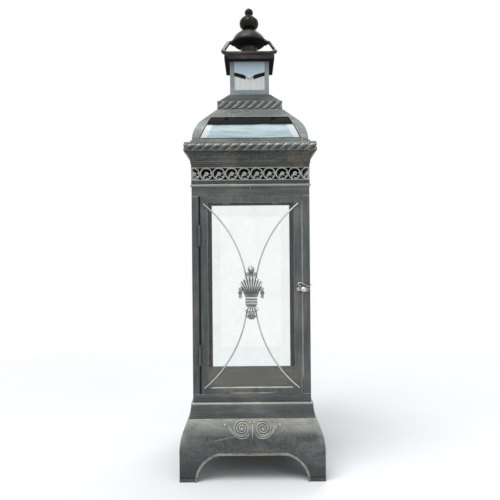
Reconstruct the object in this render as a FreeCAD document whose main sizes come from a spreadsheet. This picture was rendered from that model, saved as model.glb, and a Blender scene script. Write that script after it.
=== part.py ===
import FreeCAD, Part
import math
import os
import re

import Sketcher
from FreeCAD import Placement, Rotation, Vector

# Hurricane candle lantern, in millimetres. The ground is z = 0, the door faces -Y and the
# axis of the square tower is the Z axis. A "half" is half the width of a square, and "out"
# and "in" are how far a square stands outside or inside the body.
SIZES = {
    # sheet metal, glass and clearances
    "gauge": 2.0,
    "glass_thick": 2.4,
    "fit_gap": 0.3,
    # base with bracket feet
    "base_out": 18.9,
    "base_arc_low": 44.0,
    "base_arc_radius": 90.0,
    "base_top": 89.0,
    "base_top_out": 6.4,
    "foot_wide": 25.5,
    "foot_flange": 9.0,
    "arch_top": 39.0,
    "arch_corner": 33.0,
    "rim_wide": 3.0,
    "scroll_proud": 1.4,
    "scroll_line": 1.25,
    "scroll_mid": 77.0,
    "scroll_apart": 15.7,
    "scroll_radius": 12.4,
    # collar and its lip
    "collar_tall": 19.0,
    "collar_low_out": 5.5,
    "collar_high_out": 2.7,
    "lip_tall": 4.0,
    "lip_out": 1.7,
    # candle chamber
    "body_half": 88.5,
    "inner_flange": 18.5,
    "ring_tall": 12.0,
    "floor_rise": 17.0,
    "floor_gap": 1.6,
    "chamber_tall": 297.0,
    "head_tall": 14.0,
    "post_flange": 18.0,
    "post_front": 11.0,
    "clip_apart": 90.0,
    "clip_wide": 12.0,
    # frieze
    "bead_radius": 2.0,
    "bead_out": 0.3,
    "band_tall": 6.0,
    "frieze_tall": 19.0,
    "frieze_out": 0.4,
    "frieze_thick": 1.6,
    "upper_band_tall": 6.0,
    "fillet_tall": 3.0,
    "fillet_out": 1.0,
    "ring_pitch": 18.95,
    "ring_wide": 1.7,
    "curl_radius": 3.0,
    "curl_stem": 1.9,
    # cornice
    "cornice_low_out": 1.5,
    "cornice_high_out": 10.5,
    "cove_radius": 17.0,
    "cove_tall": 14.5,
    "cove_edge": 1.5,
    "rope_tall": 9.0,
    "rope_out": 8.7,
    "rope_deep": 12.0,
    "strand_depth": 2.6,
    "plate_tall": 3.0,
    "plate_out": 9.5,
    "plate_ledge": 12.0,
    "curb_out": 1.3,
    "curb_tall": 4.0,
    # roof
    "roof_in": 1.0,
    "roof_radius": 48.0,
    "roof_rise": 58.0,
    "pane_start": 2.5,
    "pane_tall": 37.5,
    "pane_low_in": 10.5,
    "pane_top_in": 28.0,
    "pane_set": 0.8,
    "rope_two_tall": 11.0,
    "hip_tall": 15.0,
    "hip_ledge": 1.7,
    # cupola
    "cupola_half": 31.3,
    "cupola_tall": 54.0,
    "cupola_wall": 1.6,
    "cupola_stile": 6.7,
    "window_sill": 8.0,
    "valance_drop": 28.2,
    "valance_point": 6.8,
    "valance_slope": 4.0,
    "valance_knee_half": 9.0,
    "eave_out": 8.7,
    "eave_tall": 9.0,
    "eave_round": 1.8,
    # cap, finial and stud
    "neck_radius": 13.6,
    "neck_tall": 24.0,
    "bowl_tall": 8.0,
    "bowl_radius": 17.0,
    "cap_rim": 27.8,
    "rim_tall": 3.5,
    "dome_tall": 16.5,
    "cap_top_radius": 8.8,
    "ball_foot": 1.0,
    "ball_round": 11.6,
    "ball_middle": 4.2,
    "groove_radius": 1.5,
    "tip_radius": 7.0,
    "tip_rise": 6.9,
    "stud_radius": 3.0,
    "stud_below": 12.0,
    "stud_into": 14.0,
    "nut_across": 10.0,
    "nut_tall": 5.0,
    # bail
    "bail_radius": 3.2,
    "bail_over": 1.6,
    "bail_out": 3.6,
    "bail_bend": 12.0,
    "bail_knee": 4.4,
    "shoulder_out": 6.6,
    "pivot_gap": 0.06,
    "pivot_rise": 0.8,
    "pivot_in": 5.3,
    "ear_wall": 1.7,
    "ear_out": 1.4,
    # door
    "door_gap": 1.3,
    "door_clear": 1.0,
    "door_thick": 4.0,
    "stile": 11.5,
    "rail": 9.0,
    "glass_lap": 5.0,
    "tab_tall": 10.0,
    "tab_lap": 3.0,
    "wire_radius": 1.1,
    "wire_inset": 5.2,
    "wire_mid_half": 5.5,
    "wire_low_in": 8.5,
    "wire_top_in": 10.5,
    # hinges
    "hinge_radius": 2.3,
    "hinge_pin": 1.2,
    "hinge_gap": 0.05,
    "hinge_out": 1.0,
    "hinge_tall": 30.0,
    "hinge_in": 43.0,
    "leaf_thick": 0.8,
    "leaf_wide": 6.5,
    # latch
    "latch_in": 5.4,
    "latch_rise": 156.0,
    "latch_past": 2.6,
    "latch_tall": 5.0,
    "latch_thick": 1.5,
    "latch_off": 0.6,
    "latch_shank": 1.6,
    "latch_head": 2.8,
    "latch_plate_wide": 7.0,
    "latch_plate_tall": 12.0,
    "knob_out": 6.6,
    "knob_radius": 4.6,
    "knob_stem": 2.0,
    "keeper_in": 4.9,
    "keeper_radius": 1.5,
    "keeper_long": 4.2,
    # shell ornament
    "shell_rise": 139.0,
    "shell_plate": 2.8,
    "fan_radius": 34.0,
    "fan_start": 7.0,
    "waist_half": 9.0,
    "waist_step": 3.9,
    "waist_radius": 2.3,
    "tail_long": 25.0,
    "volute_out": 16.4,
    "volute_radius": 3.2,
    "shell_ball": 5.0,
}

# Sizes that follow from the ones above: squares about the body, heights stacked from the
# ground up, and the places of the pieces that sit on the door and on the cap.
DERIVED = {
    "base_half": "body_half + base_out",
    "base_top_half": "body_half + base_top_out",
    "collar_low_half": "body_half + collar_low_out",
    "collar_high_half": "body_half + collar_high_out",
    "lip_low": "base_top + collar_tall",
    "lip_top": "lip_low + lip_tall",
    "lip_half": "body_half + lip_out",
    "hole_half": "body_half - inner_flange",
    "ring_top": "lip_top + ring_tall",
    "floor_top": "lip_top + floor_rise",
    "floor_front": "body_half - door_thick - glass_thick - gauge / 2 - floor_gap",
    "head_low": "ring_top + chamber_tall",
    "head_top": "head_low + head_tall",
    "bead_half": "body_half + bead_out",
    "band_low": "head_top + 2 * bead_radius",
    "band_top": "band_low + band_tall",
    "frieze_half": "body_half + frieze_out",
    "frieze_top": "band_top + frieze_tall",
    "frieze_mid": "band_top + frieze_tall / 2",
    "fillet_low": "frieze_top + upper_band_tall",
    "cornice_low": "fillet_low + fillet_tall",
    "cornice_low_half": "body_half + cornice_low_out",
    "cornice_high_half": "body_half + cornice_high_out",
    "cove_top": "cornice_low + cove_tall",
    "rope_low": "cove_top + cove_edge",
    "rope_top": "rope_low + rope_tall",
    "rope_half": "body_half + rope_out",
    "plate_half": "body_half + plate_out",
    "plate_top": "rope_top + plate_tall",
    "curb_half": "body_half + curb_out",
    "curb_top": "plate_top + curb_tall",
    "roof_half": "body_half - roof_in",
    "roof_top": "curb_top + roof_rise",
    "roof_top_half": "roof_half - roof_rise + roof_radius * (sqrt(2) - 1)",
    "pane_low": "curb_top + pane_start",
    "pane_top": "pane_low + pane_tall",
    "pane_low_half": "roof_half - pane_low_in",
    "pane_top_half": "roof_half - pane_top_in",
    "rope_two_top": "roof_top + rope_two_tall",
    "hip_top": "rope_two_top + hip_tall",
    "hip_top_half": "cupola_half + hip_ledge",
    "cupola_top": "hip_top + cupola_tall",
    "window_half": "cupola_half - cupola_stile",
    "window_low": "hip_top + window_sill",
    "valance_tip": "cupola_top - valance_drop",
    "valance_knee": "valance_tip + valance_point",
    "valance_side": "valance_knee + valance_slope",
    "eave_half": "cupola_half + eave_out",
    "eave_top": "cupola_top + eave_tall",
    "bowl_low": "eave_top + neck_tall",
    "cap_rim_low": "bowl_low + bowl_tall",
    "cap_rim_top": "cap_rim_low + rim_tall",
    "cap_top": "cap_rim_top + dome_tall",
    "ball_low": "cap_top + ball_foot",
    "ball_half": "ball_round * 0.97",
    "ball_end": "ball_middle + sqrt(ball_round ^ 2 - ball_half ^ 2)",
    "ball_top": "ball_low + 2 * ball_half",
    "tip_middle": "ball_top + tip_rise",
    "stud_low": "cupola_top - stud_below",
    "stud_top": "ball_low + stud_into",
    "bail_pivot": "cap_rim_low + pivot_rise",
    "bail_inner": "cap_rim - pivot_in",
    "bail_shoulder": "cap_rim + shoulder_out",
    "bail_half": "eave_half + bail_out",
    "bail_reach": "tip_middle + tip_radius - bail_pivot + bail_radius + bail_over",
    "ear_radius": "bail_radius + pivot_gap + ear_wall",
    "ear_inner": "bail_inner - fit_gap - ear_wall",
    "ear_outer": "cap_rim + ear_out",
    "door_half": "body_half - post_front - door_gap",
    "door_low": "ring_top + door_clear",
    "door_top": "head_low - door_clear",
    "wire_end_half": "door_half - wire_inset",
    "wire_end_low": "door_low + wire_low_in",
    "wire_end_top": "door_top - wire_top_in",
    "hinge_across": "door_half + hinge_out",
    "hinge_low": "door_low + hinge_in",
    "hinge_high": "door_top - hinge_in - hinge_tall",
    "latch_across": "door_half - latch_in",
    "latch_high": "door_low + latch_rise",
    "knob_across": "latch_across + knob_out",
    "keeper_across": "body_half - keeper_in",
    "latch_tip": "keeper_across + latch_past",
    "waist_mid": "door_low + shell_rise",
}

doc = FreeCAD.newDocument("hurricane_lantern")
sheet = doc.addObject("Spreadsheet::Sheet", "sizes")
for row, (alias, value) in enumerate(SIZES.items(), start=1):
    sheet.set("A%d" % row, alias)
    sheet.set("B%d" % row, str(value))
    sheet.setAlias("B%d" % row, alias)
doc.recompute()

SIDES = {"front": 0, "right": 90, "back": 180, "left": 270}
REACH = 400
nodes = []


def expr(text):
    """Point every size named in the text at its cell in the sheet."""
    def cell(word):
        name = word.group()
        if name in DERIVED:
            return "(%s)" % expr(DERIVED[name])
        return "sizes." + name if name in SIZES else name
    return re.sub(r"[a-z_]+", cell, str(text))





def size(text):
    """The present value of a size or of a sum of sizes."""
    return float(sheet.evalExpression(expr(text)))


def bind(obj, **links):
    """Bind properties to the sheet. Two underscores stand for a dot."""
    for prop, text in links.items():
        obj.setExpression(prop.replace("__", "."), expr(text))
    return obj


def node(label, obj, turn=0):
    """Register an object as a piece of the lantern, turned about the axis if asked."""
    obj.Label = label
    if turn:
        obj.Placement = Placement(Vector(), Rotation(Vector(0, 0, 1), turn))
    nodes.append(obj)
    return obj


def box(low, high):
    """A box between two corners, each given as three expressions."""
    obj = doc.addObject("Part::Box", "box")
    bind(obj, Placement__Base__x=low[0], Placement__Base__y=low[1], Placement__Base__z=low[2])
    for prop, a, b in zip(("Length", "Width", "Height"), low, high):
        obj.setExpression(prop, expr("(%s) - (%s)" % (b, a)))
    return obj


def square_box(half, low, high):
    """A box centred on the axis."""
    return box(("-(%s)" % half, "-(%s)" % half, low), (half, half, high))


def rod(radius, length, at, way=(0, 0, 1)):
    """A straight round bar that starts at a point and runs the given way."""
    obj = doc.addObject("Part::Cylinder", "rod")
    obj.Placement = Placement(Vector(), Rotation(Vector(0, 0, 1), Vector(*way)))
    bind(obj, Radius=radius, Height=length)
    bind(obj, Placement__Base__x=at[0], Placement__Base__y=at[1], Placement__Base__z=at[2])
    return obj


def ball(radius, at):
    obj = doc.addObject("Part::Sphere", "ball")
    bind(obj, Radius=radius)
    return bind(obj, Placement__Base__x=at[0], Placement__Base__y=at[1], Placement__Base__z=at[2])


def cut(base, *tools):
    obj = doc.addObject("Part::Cut", "cut")
    obj.Base = base
    obj.Tool = tools[0] if len(tools) == 1 else fuse(*tools)
    return obj


def fuse(*shapes):
    obj = doc.addObject("Part::MultiFuse", "fuse")
    obj.Shapes = list(shapes)
    return obj


def common(*shapes):
    obj = doc.addObject("Part::MultiCommon", "common")
    obj.Shapes = list(shapes)
    return obj


def turned_copy(obj, angle):
    """The same solid seen again, turned about the axis of the lantern."""
    copy = doc.addObject("Part::Compound", "copy")
    copy.Links = [obj]
    copy.Placement = Placement(Vector(), Rotation(Vector(0, 0, 1), angle))
    return copy


PLANES = {
    "XZ": Rotation(Vector(1, 0, 0), 90),
    "YZ": Rotation(Vector(1, 1, 1), 120),
    "XY": Rotation(),
}


def arc_between(start, end, radius, bulge):
    """The short arc from start to end. It bulges right of the way travelled if bulge is 1."""
    chord = end - start
    rise = radius - math.sqrt(radius ** 2 - chord.Length ** 2 / 4)
    side = Vector(chord.y, -chord.x, 0).normalize() * bulge
    return Part.Arc(start, (start + end) / 2 + side * rise, end)


def draw(sketch, corners):
    """Close an outline through the corners and tie every one to the sheet.

    A corner is (across, up), or (across, up, radius, bulge) if an arc leads to it."""
    count = len(corners)
    first = sketch.GeometryCount
    spots = [Vector(size(c[0]), size(c[1]), 0) for c in corners]
    for i in range(count):
        start, end, corner = spots[i], spots[(i + 1) % count], corners[(i + 1) % count]
        if len(corner) > 2:
            sketch.addGeometry(arc_between(start, end, size(corner[2]), corner[3]))
        else:
            sketch.addGeometry(Part.LineSegment(start, end))
    for i in range(count):
        corner = corners[(i + 1) % count]
        edge, after = first + i, first + (i + 1) % count
        end_of_edge = 2 if len(corner) == 2 or corner[3] == 1 else 1
        follow = corners[(i + 2) % count]
        start_of_after = 1 if len(follow) == 2 or follow[3] == 1 else 2
        sketch.addConstraint(Sketcher.Constraint("Coincident", edge, end_of_edge, after, start_of_after))
        for kind, value in (("DistanceX", corner[0]), ("DistanceY", corner[1])):
            number = sketch.addConstraint(
                Sketcher.Constraint(kind, -1, 1, after, start_of_after, size(value)))
            sketch.setExpression("Constraints[%d]" % number, expr(value))
        if len(corner) > 2:
            number = sketch.addConstraint(Sketcher.Constraint("Radius", edge, size(corner[2])))
            sketch.setExpression("Constraints[%d]" % number, expr(corner[2]))


def outline(plane, *loops):
    """A free sketch of closed outlines in one of the planes through the origin."""
    sketch = doc.addObject("Sketcher::SketchObject", "outline")
    sketch.Placement = Placement(Vector(), PLANES[plane])
    for corners in loops:
        draw(sketch, corners)
    return sketch


def prism(plane, length, *loops):
    """Outlines stretched to both sides of their plane."""
    obj = doc.addObject("Part::Extrusion", "prism")
    obj.Base = outline(plane, *loops)
    obj.DirMode = "Normal"
    obj.Solid = True
    obj.Symmetric = True
    return bind(obj, LengthFwd=length)


def slab(plane, low, high, *loops):
    """Outlines stretched between two distances from their plane, along +Y, +X or +Z."""
    obj = prism(plane, "(%s) - (%s)" % (high, low), *loops)
    axis = {"XZ": "Placement__Base__y", "YZ": "Placement__Base__x", "XY": "Placement__Base__z"}[plane]
    return bind(obj, **{axis: "((%s) + (%s)) / 2" % (low, high)})


def mirrored(half_profile):
    """Both halves of a profile, from its right-hand side read upwards."""
    left = []
    for i in range(len(half_profile) - 1, -1, -1):
        across, up = half_profile[i][:2]
        arc = half_profile[i + 1][2:] if i + 1 < len(half_profile) else ()
        left.append(("-(%s)" % across, up) + tuple(arc))
    return list(half_profile) + left


def square_tower(half_profile):
    """A solid that is square at every height, with mitred corners like a turned-up moulding."""
    corners = mirrored(half_profile)
    return common(prism("XZ", REACH, corners), prism("YZ", REACH, corners))


def turned(label, half_profile):
    """A body revolved about the lantern's axis from a profile that starts and ends on it."""
    body = doc.addObject("PartDesign::Body", label)
    sketch = body.newObject("Sketcher::SketchObject", "profile")
    plane = [f for f in body.Origin.OriginFeatures if f.Role == "XZ_Plane"][0]
    sketch.AttachmentSupport = [(plane, "")]
    sketch.MapMode = "FlatFace"
    draw(sketch, half_profile)
    spin = body.newObject("PartDesign::Revolution", "spin")
    spin.Profile = sketch
    spin.ReferenceAxis = (sketch, ["V_Axis"])
    spin.Angle = 360
    body.Tip = spin
    return body


def group(*solids):
    """Equal small pieces that share one file."""
    obj = doc.addObject("Part::Compound", "group")
    obj.Links = list(solids)
    return obj


def square_ring(half, hole_half, low, high):
    """A square frame about the axis with straight inner and outer walls."""
    return cut(square_box(half, low, high), square_box(hole_half, "(%s) - 1" % low, "(%s) + 1" % high))


def base_tower(grow):
    """The outer form of the base, larger all round by the given amount."""
    return square_tower([
        ("base_half + (%s)" % grow, "0"),
        ("base_half + (%s)" % grow, "base_arc_low"),
        ("base_top_half + (%s)" % grow, "base_top", "base_arc_radius", 1),
    ])


def arch(grow):
    """The opening between two feet."""
    side = "base_half - foot_wide + (%s)" % grow
    top = "arch_top + (%s)" % grow
    round_in = "base_half - foot_wide - arch_corner + (%s) / 2" % grow
    corner = ("arch_corner * 1.25 + (%s)" % grow, 1)
    return prism("XZ", REACH, [
        ("-(%s)" % side, "-5"),
        (side, "-5"),
        (side, "0"),
        (round_in, top) + corner,
        ("-(%s)" % round_in, top),
        ("-(%s)" % side, "0") + corner,
    ])


def ribbon(path, width):
    """A flat strip in the XZ plane along a list of points, ready to press into the front."""
    left, right = [], []
    for i, spot in enumerate(path):
        way = path[min(i + 1, len(path) - 1)] - path[max(i - 1, 0)]
        side = Vector(-way.z, 0, way.x).normalize() * (width / 2)
        left.append(spot + side)
        right.append(spot - side)
    edges = []
    for points in (left, right):
        curve = Part.BSplineCurve()
        curve.interpolate(points)
        edges.append(curve.toShape())
    edges.append(Part.makeLine(left[0], right[0]))
    edges.append(Part.makeLine(left[-1], right[-1]))
    face = Part.Face(Part.Wire(Part.__sortEdges__(edges)))
    strip = doc.addObject("Part::Feature", "ribbon")
    strip.Shape = face.extrude(Vector(0, -REACH / 2, 0))
    return strip


def spiral(across, up, wide, narrow, start, turns):
    """Points along a slightly flattened volute that closes in from its outer to its inner radius."""
    steps = int(14 * turns)
    points = []
    for i in range(steps + 1):
        angle = math.radians(start) + 2 * math.pi * turns * i / steps
        reach = wide + (narrow - wide) * i / steps
        points.append(Vector(across + reach * math.cos(angle), 0, up + 0.87 * reach * math.sin(angle)))
    return points


def scroll_half(mirror):
    """One half of the scroll ornament: a close volute, two lines that sweep under it and a bead."""
    across, up = size("scroll_apart"), size("scroll_mid")
    line, wide = size("scroll_line"), size("scroll_radius")
    paths = [spiral(-across, up, wide, line * 1.3, 60, 2.9)]
    sweep = [(1.75, 0.36), (1.42, 0.06), (1.12, -0.28), (0.85, -0.56), (0.5, -0.78), (0.0, -0.88),
             (-0.5, -0.8), (-0.9, -0.55)]
    for drop in (0, 2.2 * line):
        paths.append([Vector(-across - wide * a, 0, up + wide * b - drop) for a, b in sweep])
    strips = [ribbon([Vector(p.x * mirror, 0, p.z) for p in points], line) for points in paths]
    eye = ("%d * scroll_apart" % mirror, "0", "scroll_mid")
    bead = ("%d * (scroll_apart + scroll_radius * 2)" % mirror, "0", "scroll_mid + scroll_radius * 0.36")
    return strips + [rod("scroll_line * 1.4", REACH / 2, spot, (0, -1, 0)) for spot in (eye, bead)]


def make_base():
    skin = base_tower("0")
    hollow = square_tower([
        ("base_half - gauge", "gauge"),
        ("base_half - gauge", "base_arc_low"),
        ("base_top_half - gauge", "base_top - gauge", "base_arc_radius", 1),
    ])
    foot_hole = square_box("base_half - gauge - foot_flange", "-1", "gauge + 1")
    top_hole = square_box("base_top_half - foot_flange - gauge", "base_top - gauge - 1", "base_top + 1")
    shell = cut(skin, hollow, foot_hole, top_hole)
    wedge = slab("XY", "-10", "200", [("0", "0"), ("-300", "-300"), ("300", "-300")])
    rim_layer = cut(base_tower("gauge / 2"), skin)
    rim = common(cut(arch("rim_wide"), arch("0")), rim_layer, wedge,
                 box(("-base_half + 6", "-200", "0"), ("base_half - 6", "0", "100")))
    for side, angle in SIDES.items():
        panel = fuse(cut(common(shell, wedge), arch("0")), rim)
        if side == "front":
            pressed = common(fuse(*scroll_half(1), *scroll_half(-1), *scroll_drop()),
                             cut(base_tower("scroll_proud"), skin), wedge)
            panel = fuse(panel, pressed)
        node("base_skirt_" + side, panel, angle)


def scroll_drop():
    """The pointed drop between the two volutes and the dots on either side of its top."""
    drop = prism("XZ", REACH, [
        ("0", "scroll_mid + 9"),
        ("-scroll_line", "scroll_mid"),
        ("0", "scroll_mid - 16"),
        ("scroll_line", "scroll_mid"),
    ])
    spots = [("%d * scroll_line * 2.2" % sign, "0", "scroll_mid + 8") for sign in (-1, 1)]
    return [drop] + [rod("scroll_line", REACH / 2, spot, (0, -1, 0)) for spot in spots]


def make_collar():
    sleeve = square_tower([("collar_low_half", "base_top"), ("collar_high_half", "lip_low")])
    hole = square_box("collar_high_half - gauge", "base_top - 1", "lip_low + 1")
    node("collar", cut(sleeve, hole))
    half_round = square_tower([("lip_half", "lip_low"), ("lip_half", "lip_top", "lip_tall * 0.52", 1)])
    node("collar_lip", cut(half_round, square_box("hole_half", "lip_low - 1", "lip_top + 1")))


def make_chamber():
    inside = "body_half - gauge"
    behind_glass = "body_half - gauge - glass_thick"
    node("bottom_ring", square_ring("body_half", inside, "lip_top", "ring_top"))
    tray = box(("-(%s)" % behind_glass, "-floor_front", "lip_top"), (behind_glass, behind_glass, "floor_top"))
    below = box(("-(%s) + gauge" % behind_glass, "-floor_front + gauge", "lip_top - 1"),
                (behind_glass + " - gauge", behind_glass + " - gauge", "floor_top - gauge"))
    node("floor_tray", cut(tray, below))
    head = square_box("body_half", "head_low", "head_top")
    under = square_box(inside, "head_low - 1", "head_top - gauge")
    hole = square_box("hole_half", "head_low", "head_top + 1")
    node("head_ring", cut(head, under, hole))
    for label, across, front, along in (
            ("post_front_left", -1, -1, "post_front"), ("post_front_right", 1, -1, "post_front"),
            ("post_back_left", -1, 1, "post_flange"), ("post_back_right", 1, 1, "post_flange")):
        node(label, corner_post(across, front, along))
    glass_top = "head_top - gauge"
    for label, sign in (("glass_left", -1), ("glass_right", 1)):
        near, far = ("-(%s)" % inside, "-(%s)" % behind_glass) if sign < 0 else (behind_glass, inside)
        node(label, box((near, "-floor_front", "lip_top"), (far, behind_glass, glass_top)))
    node("glass_back", box(("-(%s)" % inside, behind_glass, "lip_top"), (inside, inside, glass_top)))
    make_glass_clips(behind_glass)


def corner_post(across, front, along):
    """An angle post: one flange along the front or back, one along the side."""
    x_out, y_out = "%d * body_half" % across, "%d * body_half" % front
    x_in, y_in = "%d * (body_half - gauge)" % across, "%d * (body_half - gauge)" % front
    x_end = "%d * (body_half - %s)" % (across, along)
    y_end = "%d * (body_half - post_flange)" % front
    corners = [(x_out, y_out), (x_end, y_out), (x_end, y_in), (x_in, y_in), (x_in, y_end), (x_out, y_end)]
    return slab("XY", "ring_top", "head_low", corners)


def make_glass_clips(behind_glass):
    """Two tabs over each fixed pane, hanging from the flange of the head ring."""
    clips = []
    for middle in ("(-clip_apart / 2)", "(clip_apart / 2)"):
        near, far = middle + " - clip_wide / 2", middle + " + clip_wide / 2"
        for sign in (-1, 1):
            left = "-(%s)" % behind_glass if sign < 0 else behind_glass + " - gauge"
            right = "-(%s) + gauge" % behind_glass if sign < 0 else behind_glass
            clips.append(box((left, near, "head_low + gauge"), (right, far, "head_top - gauge")))
        clips.append(box((near, behind_glass + " - gauge", "head_low + gauge"),
                         (far, behind_glass, "head_top - gauge")))
    node("glass_clips", group(*clips))


def frieze_body():
    """The pierced strip: a thin frame and a row of rings, each with a curl, a dot and three spurs in it."""
    body = doc.addObject("PartDesign::Body", "frieze_strip")
    plane = [f for f in body.Origin.OriginFeatures if f.Role == "XZ_Plane"][0]
    first_ring = "-4.5 * ring_pitch"

    def pad(name, draw_on):
        sketch = body.newObject("Sketcher::SketchObject", name + "_outline")
        sketch.AttachmentSupport = [(plane, "")]
        sketch.MapMode = "FlatFace"
        draw_on(sketch)
        feature = body.newObject("PartDesign::Pad", name)
        feature.Profile = sketch
        return bind(feature, Length="frieze_thick")

    def frame(sketch):
        right = "5.5 * ring_pitch"
        low, high = "band_top", "frieze_top"
        draw(sketch, [("-" + right, low), (right, low), (right, high), ("-" + right, high)])
        right = "(5.5 * ring_pitch - ring_wide)"
        low, high = "band_top + ring_wide * 0.4", "frieze_top - ring_wide * 0.4"
        draw(sketch, [("-" + right, low), (right, low), (right, high), ("-" + right, high)])

    def circle(sketch, radius, across=first_ring):
        number = sketch.addGeometry(Part.Circle(Vector(0, 0, 0), Vector(0, 0, 1), size(radius)))
        for kind, value in (("DistanceX", across), ("DistanceY", "frieze_mid")):
            tie = sketch.addConstraint(Sketcher.Constraint(kind, -1, 1, number, 3, size(value)))
            sketch.setExpression("Constraints[%d]" % tie, expr(value))
        tie = sketch.addConstraint(Sketcher.Constraint("Radius", number, size(radius)))
        sketch.setExpression("Constraints[%d]" % tie, expr(radius))

    def ring(sketch):
        circle(sketch, "frieze_tall / 2 - 0.02")
        circle(sketch, "frieze_tall / 2 - ring_wide")

    def dot(sketch):
        circle(sketch, "curl_radius", first_ring + " + curl_radius / 4")

    def stem(sketch):
        reach, half = "(frieze_tall / 2 - ring_wide / 2)", "curl_stem / 2"
        bend = "frieze_tall * 0.42"
        draw(sketch, [
            ("%s - %s * 0.5 - %s" % (first_ring, reach, half), "frieze_mid - %s * 0.86 + %s" % (reach, half),
             bend, 1),
            ("%s - %s * 0.5 + %s" % (first_ring, reach, half), "frieze_mid - %s * 0.86 - %s" % (reach, half)),
            ("%s + curl_radius * 0.9" % first_ring, "frieze_mid - %s" % half, bend, -1),
            ("%s + curl_radius * 0.3" % first_ring, "frieze_mid + %s" % half),
        ])

    def spurs(sketch):
        reach = "(frieze_tall / 2 - ring_wide / 2)"
        for turn in (15, -30, -75):
            draw(sketch, [
                ("%s + %s * %.4f" % (first_ring, reach, share * math.cos(math.radians(turn + lean))),
                 "frieze_mid + %s * %.4f" % (reach, share * math.sin(math.radians(turn + lean))))
                for lean, share in ((10, 1.0), (-10, 1.0), (-18, 0.56))])

    pad("frame", frame)
    first = [pad("ring", ring), pad("stem", stem), pad("dot", dot), pad("spurs", spurs)]
    doc.recompute()
    row = body.newObject("PartDesign::LinearPattern", "row")
    row.Originals = first
    row.Direction = ([f for f in body.Origin.OriginFeatures if f.Role == "X_Axis"][0], [""])
    row.Occurrences = 10
    bind(row, Length="9 * ring_pitch")
    body.Tip = row
    return bind(body, Placement__Base__y="-frieze_half + frieze_thick")


def make_frieze():
    half_round = square_tower([("bead_half", "head_top"), ("bead_half", "band_low", "bead_radius * 1.03", 1)])
    bead_hole = square_box("bead_half - 4 * bead_radius", "head_top - 1", "band_top")
    node("bead_moulding", cut(half_round, bead_hole))
    inner = "frieze_half - frieze_thick"
    node("frieze_lower_band", square_ring("frieze_half", inner, "band_low", "band_top"))
    strip = frieze_body()
    length = box(("-frieze_half", "-frieze_half - 1", "band_top"), (inner, "0", "frieze_top"))
    back = "-(%s)" % inner
    ends = fuse(
        box(("-frieze_half", "-frieze_half", "band_top"),
            ("-frieze_half + ring_wide * 1.2", back, "frieze_top")),
        box((inner + " - ring_wide * 0.6", "-frieze_half", "band_top"), (inner, back, "frieze_top")))
    for side, angle in SIDES.items():
        node("frieze_" + side, fuse(common(strip, length), ends), angle)
    upper = fuse(square_box("frieze_half", "frieze_top", "cornice_low"),
                 square_box("frieze_half + fillet_out", "fillet_low", "cornice_low"))
    node("frieze_upper_band", cut(upper, square_box(inner, "frieze_top - 1", "cornice_low + 1")))


def rope_edge(label, half, low, high, count):
    """A square bar with slanting strands along its four sides, like a twisted rope."""
    lean = math.radians(50)
    way = (math.sin(lean), 0, math.cos(lean))
    strand = "(%s) * %.4f" % (half, 1.1 * math.cos(lean) / count)
    length = "(((%s) - (%s)) * 3.6)" % (high, low)
    strands = []
    for i in range(-1, count + 1):
        across = "(%s) * (2 * %d - %d) / %d" % (half, i, count - 1, count)
        at = ("%s - %s * %.4f / 2" % (across, length, way[0]),
              "-(%s) + strand_depth" % half,
              "((%s) + (%s)) / 2 - %s * %.4f / 2" % (low, high, length, way[2]))
        strands.append(rod(strand, length, at, way))
    between = slab("XY", low, high, [("0", "0"), ("-300", "-300"), ("300", "-300")])
    row = common(fuse(*strands), between)
    bar = square_box(half, low, high)
    rows = [turned_copy(row, angle) for angle in SIDES.values()]
    hole = square_box("(%s) - rope_deep" % half, "(%s) - 1" % low, "(%s) + 1" % high)
    node(label, cut(fuse(bar, *rows), hole))


def make_cornice():
    cove = square_tower([
        ("cornice_low_half", "cornice_low"),
        ("cornice_high_half", "cove_top", "cove_radius", -1),
        ("cornice_high_half", "rope_low"),
    ])
    node("cornice", cut(cove, square_box("frieze_half - gauge", "cornice_low - 1", "rope_low + 1")))
    rope_edge("cornice_rope", "rope_half", "rope_low", "rope_top", 15)
    top = fuse(square_box("plate_half", "rope_top", "plate_top"),
               square_box("curb_half", "plate_top", "curb_top"))
    node("cornice_top", cut(top, square_box("roof_half - plate_ledge", "rope_top - 1", "curb_top + 1")))


def roof_tower(inset, rise=0):
    """The convex roof, set in from its outer face by the given amount."""
    bend_x = "roof_half - roof_radius + (roof_radius - (%s)) * 0.7071" % inset
    bend_z = "curb_top + (roof_radius - (%s)) * 0.7071" % inset
    top = "roof_top + %d" % rise
    return square_tower([
        ("roof_half - (%s)" % inset, "curb_top"),
        (bend_x, bend_z, "roof_radius - (%s)" % inset, 1),
        ("%s - (%s - (%s))" % (bend_x, top, bend_z), top),
    ])


def make_roof():
    inside = roof_tower("gauge", 2)
    window = [
        ("-pane_low_half", "pane_low"), ("pane_low_half", "pane_low"),
        ("pane_top_half", "pane_top"), ("-pane_top_half", "pane_top"),
    ]
    shell = cut(roof_tower("0"), inside)
    node("roof_frame", cut(shell, prism("XZ", REACH, window), prism("YZ", REACH, window)))
    glass = cut(roof_tower("pane_set"), inside)
    for side, angle in SIDES.items():
        node("roof_pane_" + side, common(glass, slab("XZ", "-200", "-20", window)), angle)
    rope_edge("upper_rope", "roof_top_half", "roof_top", "rope_two_top", 8)
    hip = square_tower([("roof_top_half", "rope_two_top"), ("hip_top_half", "hip_top")])
    hollow = square_box("hip_top_half - 3 * gauge", "rope_two_top - 1", "hip_top + 1")
    node("roof_hip", cut(hip, hollow))


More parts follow.
